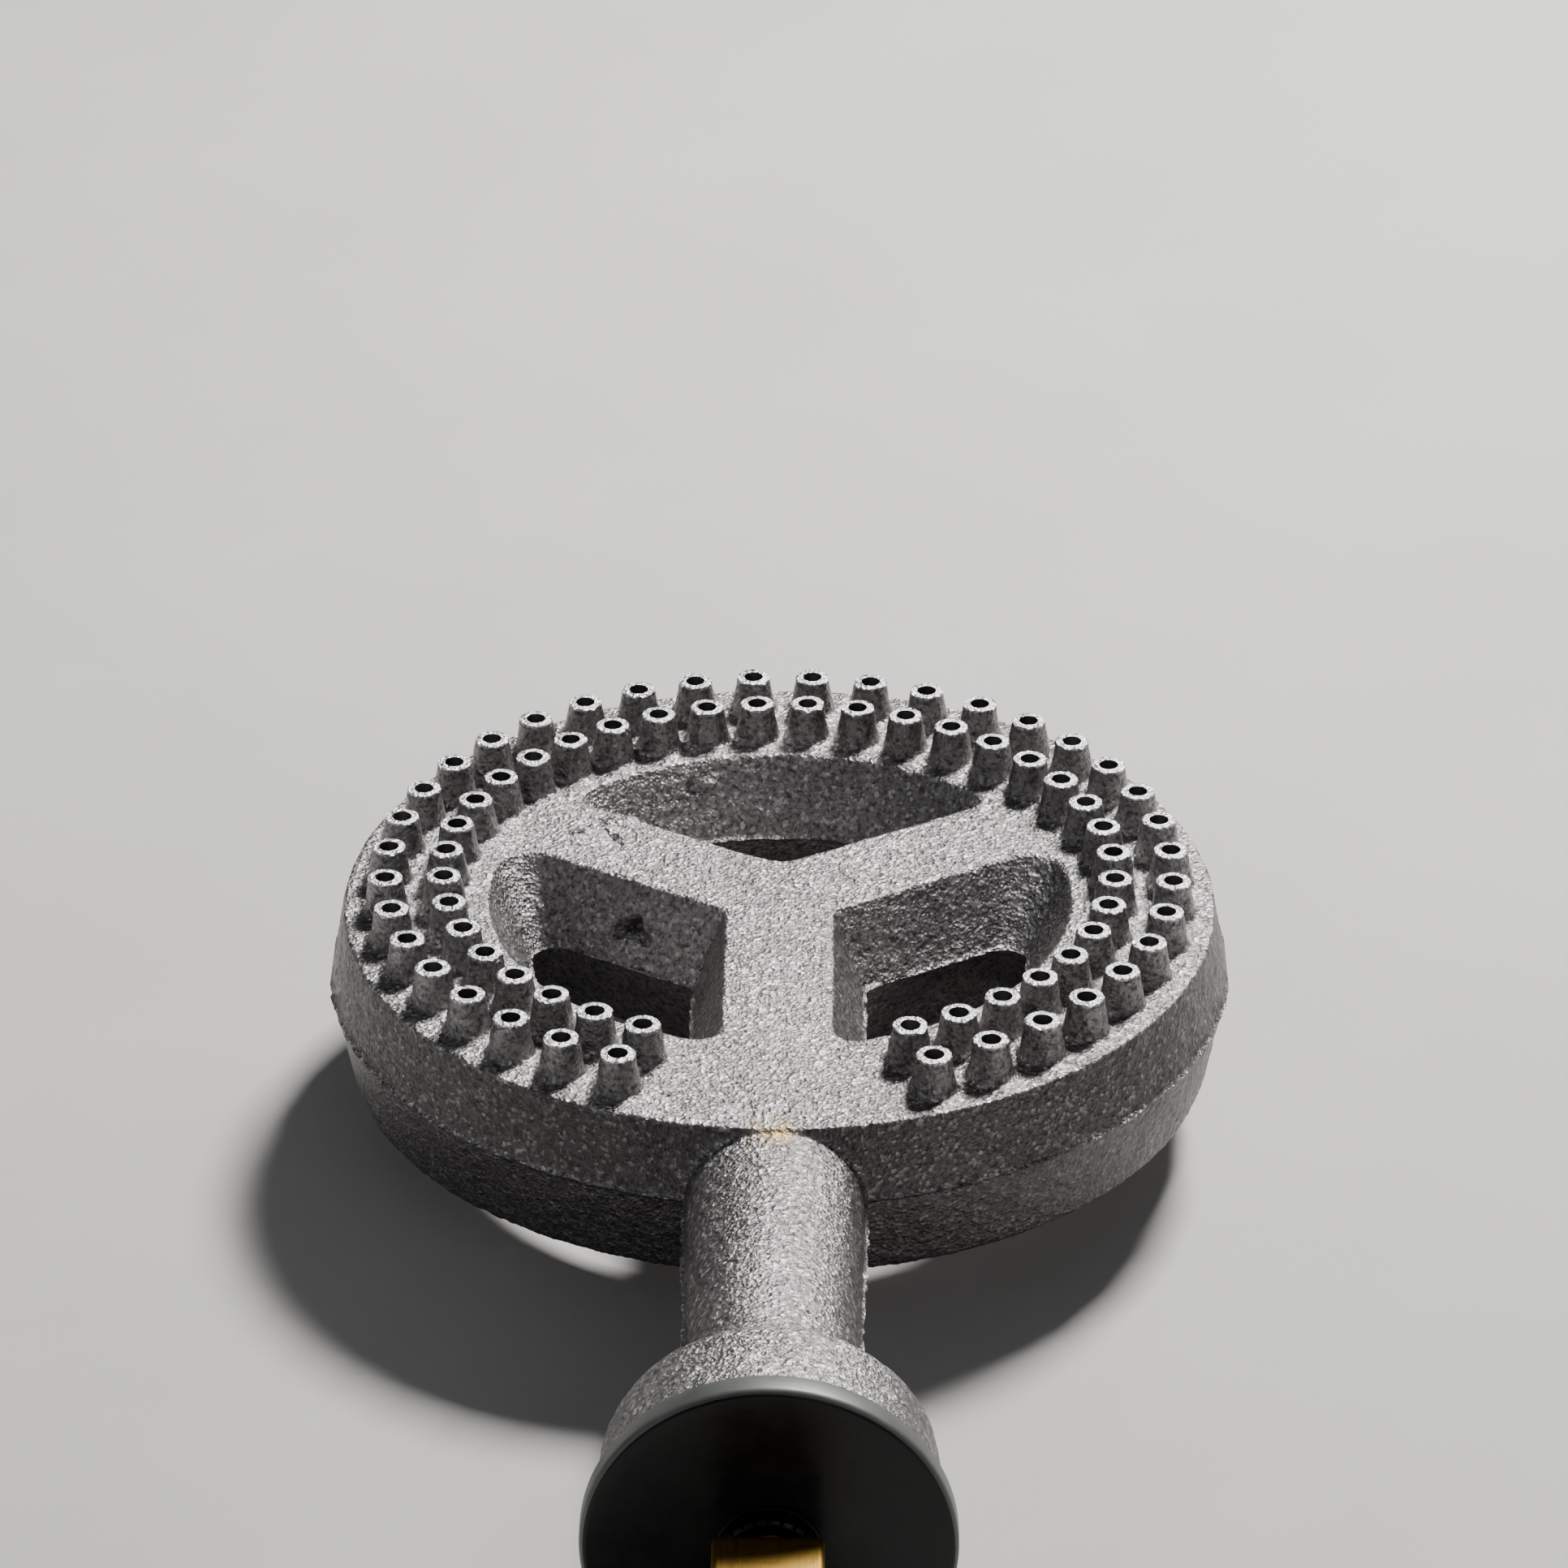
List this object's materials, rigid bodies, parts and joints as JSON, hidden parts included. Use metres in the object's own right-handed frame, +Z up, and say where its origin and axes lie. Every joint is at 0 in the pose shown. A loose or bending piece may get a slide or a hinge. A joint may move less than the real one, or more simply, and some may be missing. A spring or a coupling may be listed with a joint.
{
  "type": "gas ring burner",
  "caption": "Cast iron gas ring burner with two rows of raised ports, a cast mixing tube and bell, a screw-type air shutter disc and a brass orifice holder.",
  "frame": {"origin": "Centre of the ring on its flat underside.", "axes": "+Z is up, the way the flames point. -Y points along the mixing tube to the gas inlet. +X completes the right-handed frame."},
  "size_m": [0.183, 0.34, 0.068],
  "materials": {
    "grey_iron": "as-cast, sand grain",
    "plug_steel": "dark zinc",
    "brass": "machined",
    "zinc_steel": "zinc plated",
    "shutter_enamel": "gloss black with a bare satin rim",
    "black_oxide": "black oxide"
  },
  "bodies": {
    "burner": {"burner_casting": "grey_iron", "core_plug_rear": "plug_steel", "core_plug_left": "plug_steel", "core_plug_right": "plug_steel", "orifice_holder": "brass", "pressure_tap_plug": "brass", "spud_lock_washer": "zinc_steel", "spud_jam_nut": "zinc_steel", "orifice_hood": "brass"},
    "shutter_carrier": {"shutter_key_washer": "black_oxide"},
    "shutter": {"air_shutter_disc": "shutter_enamel", "shutter_lock_nut": "black_oxide"}
  },
  "joints": [
    {"name": "shutter_travel", "type": "slide", "parent": "burner", "child": "shutter_carrier", "axis": [0, -1, 0], "range_m": [-0.0012, 0.0042]},
    {"name": "shutter_turn", "type": "hinge", "parent": "shutter_carrier", "child": "shutter", "pos_m": [0, -0.2022, 0.0183], "axis": [0, -1, 0], "range_deg": [-340, 1190]}
  ],
  "couplings": [
    {"joint": "shutter_travel", "follows": "shutter_turn", "m_per_rad": 0.00020213}
  ]
}
